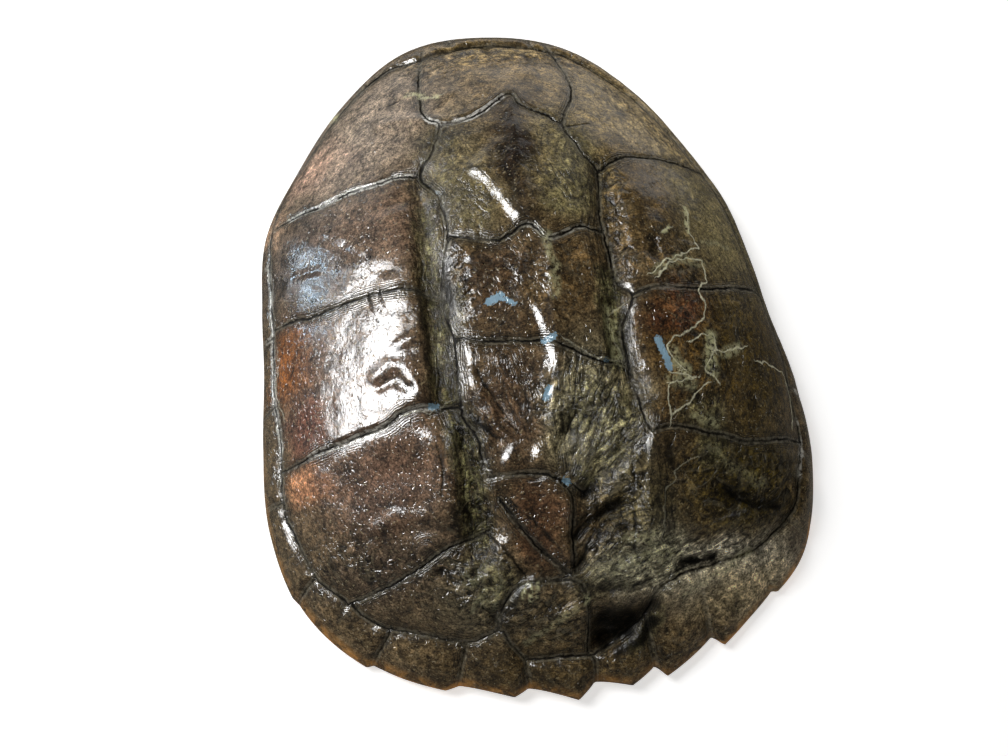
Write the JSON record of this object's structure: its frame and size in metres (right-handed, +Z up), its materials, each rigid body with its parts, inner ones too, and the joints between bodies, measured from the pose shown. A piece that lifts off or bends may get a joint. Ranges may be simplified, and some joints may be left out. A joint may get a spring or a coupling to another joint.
{
  "type": "turtle carapace",
  "caption": "Domed upper shell of a turtle: keeled and grooved horn scutes outside, saw-toothed rear rim, hollow bone inside, resting on its rim.",
  "frame": {"origin": "under the middle of the shell, on the plane the rim rests on", "axes": "+Z up through the dome, +Y towards the head end, +X towards the shell's right side seen from above with the head end away"},
  "size_m": [0.2626, 0.3267, 0.1025],
  "materials": {
    "horn": "glossy"
  },
  "bodies": {
    "root": {"carapace": "horn"}
  },
  "joints": []
}
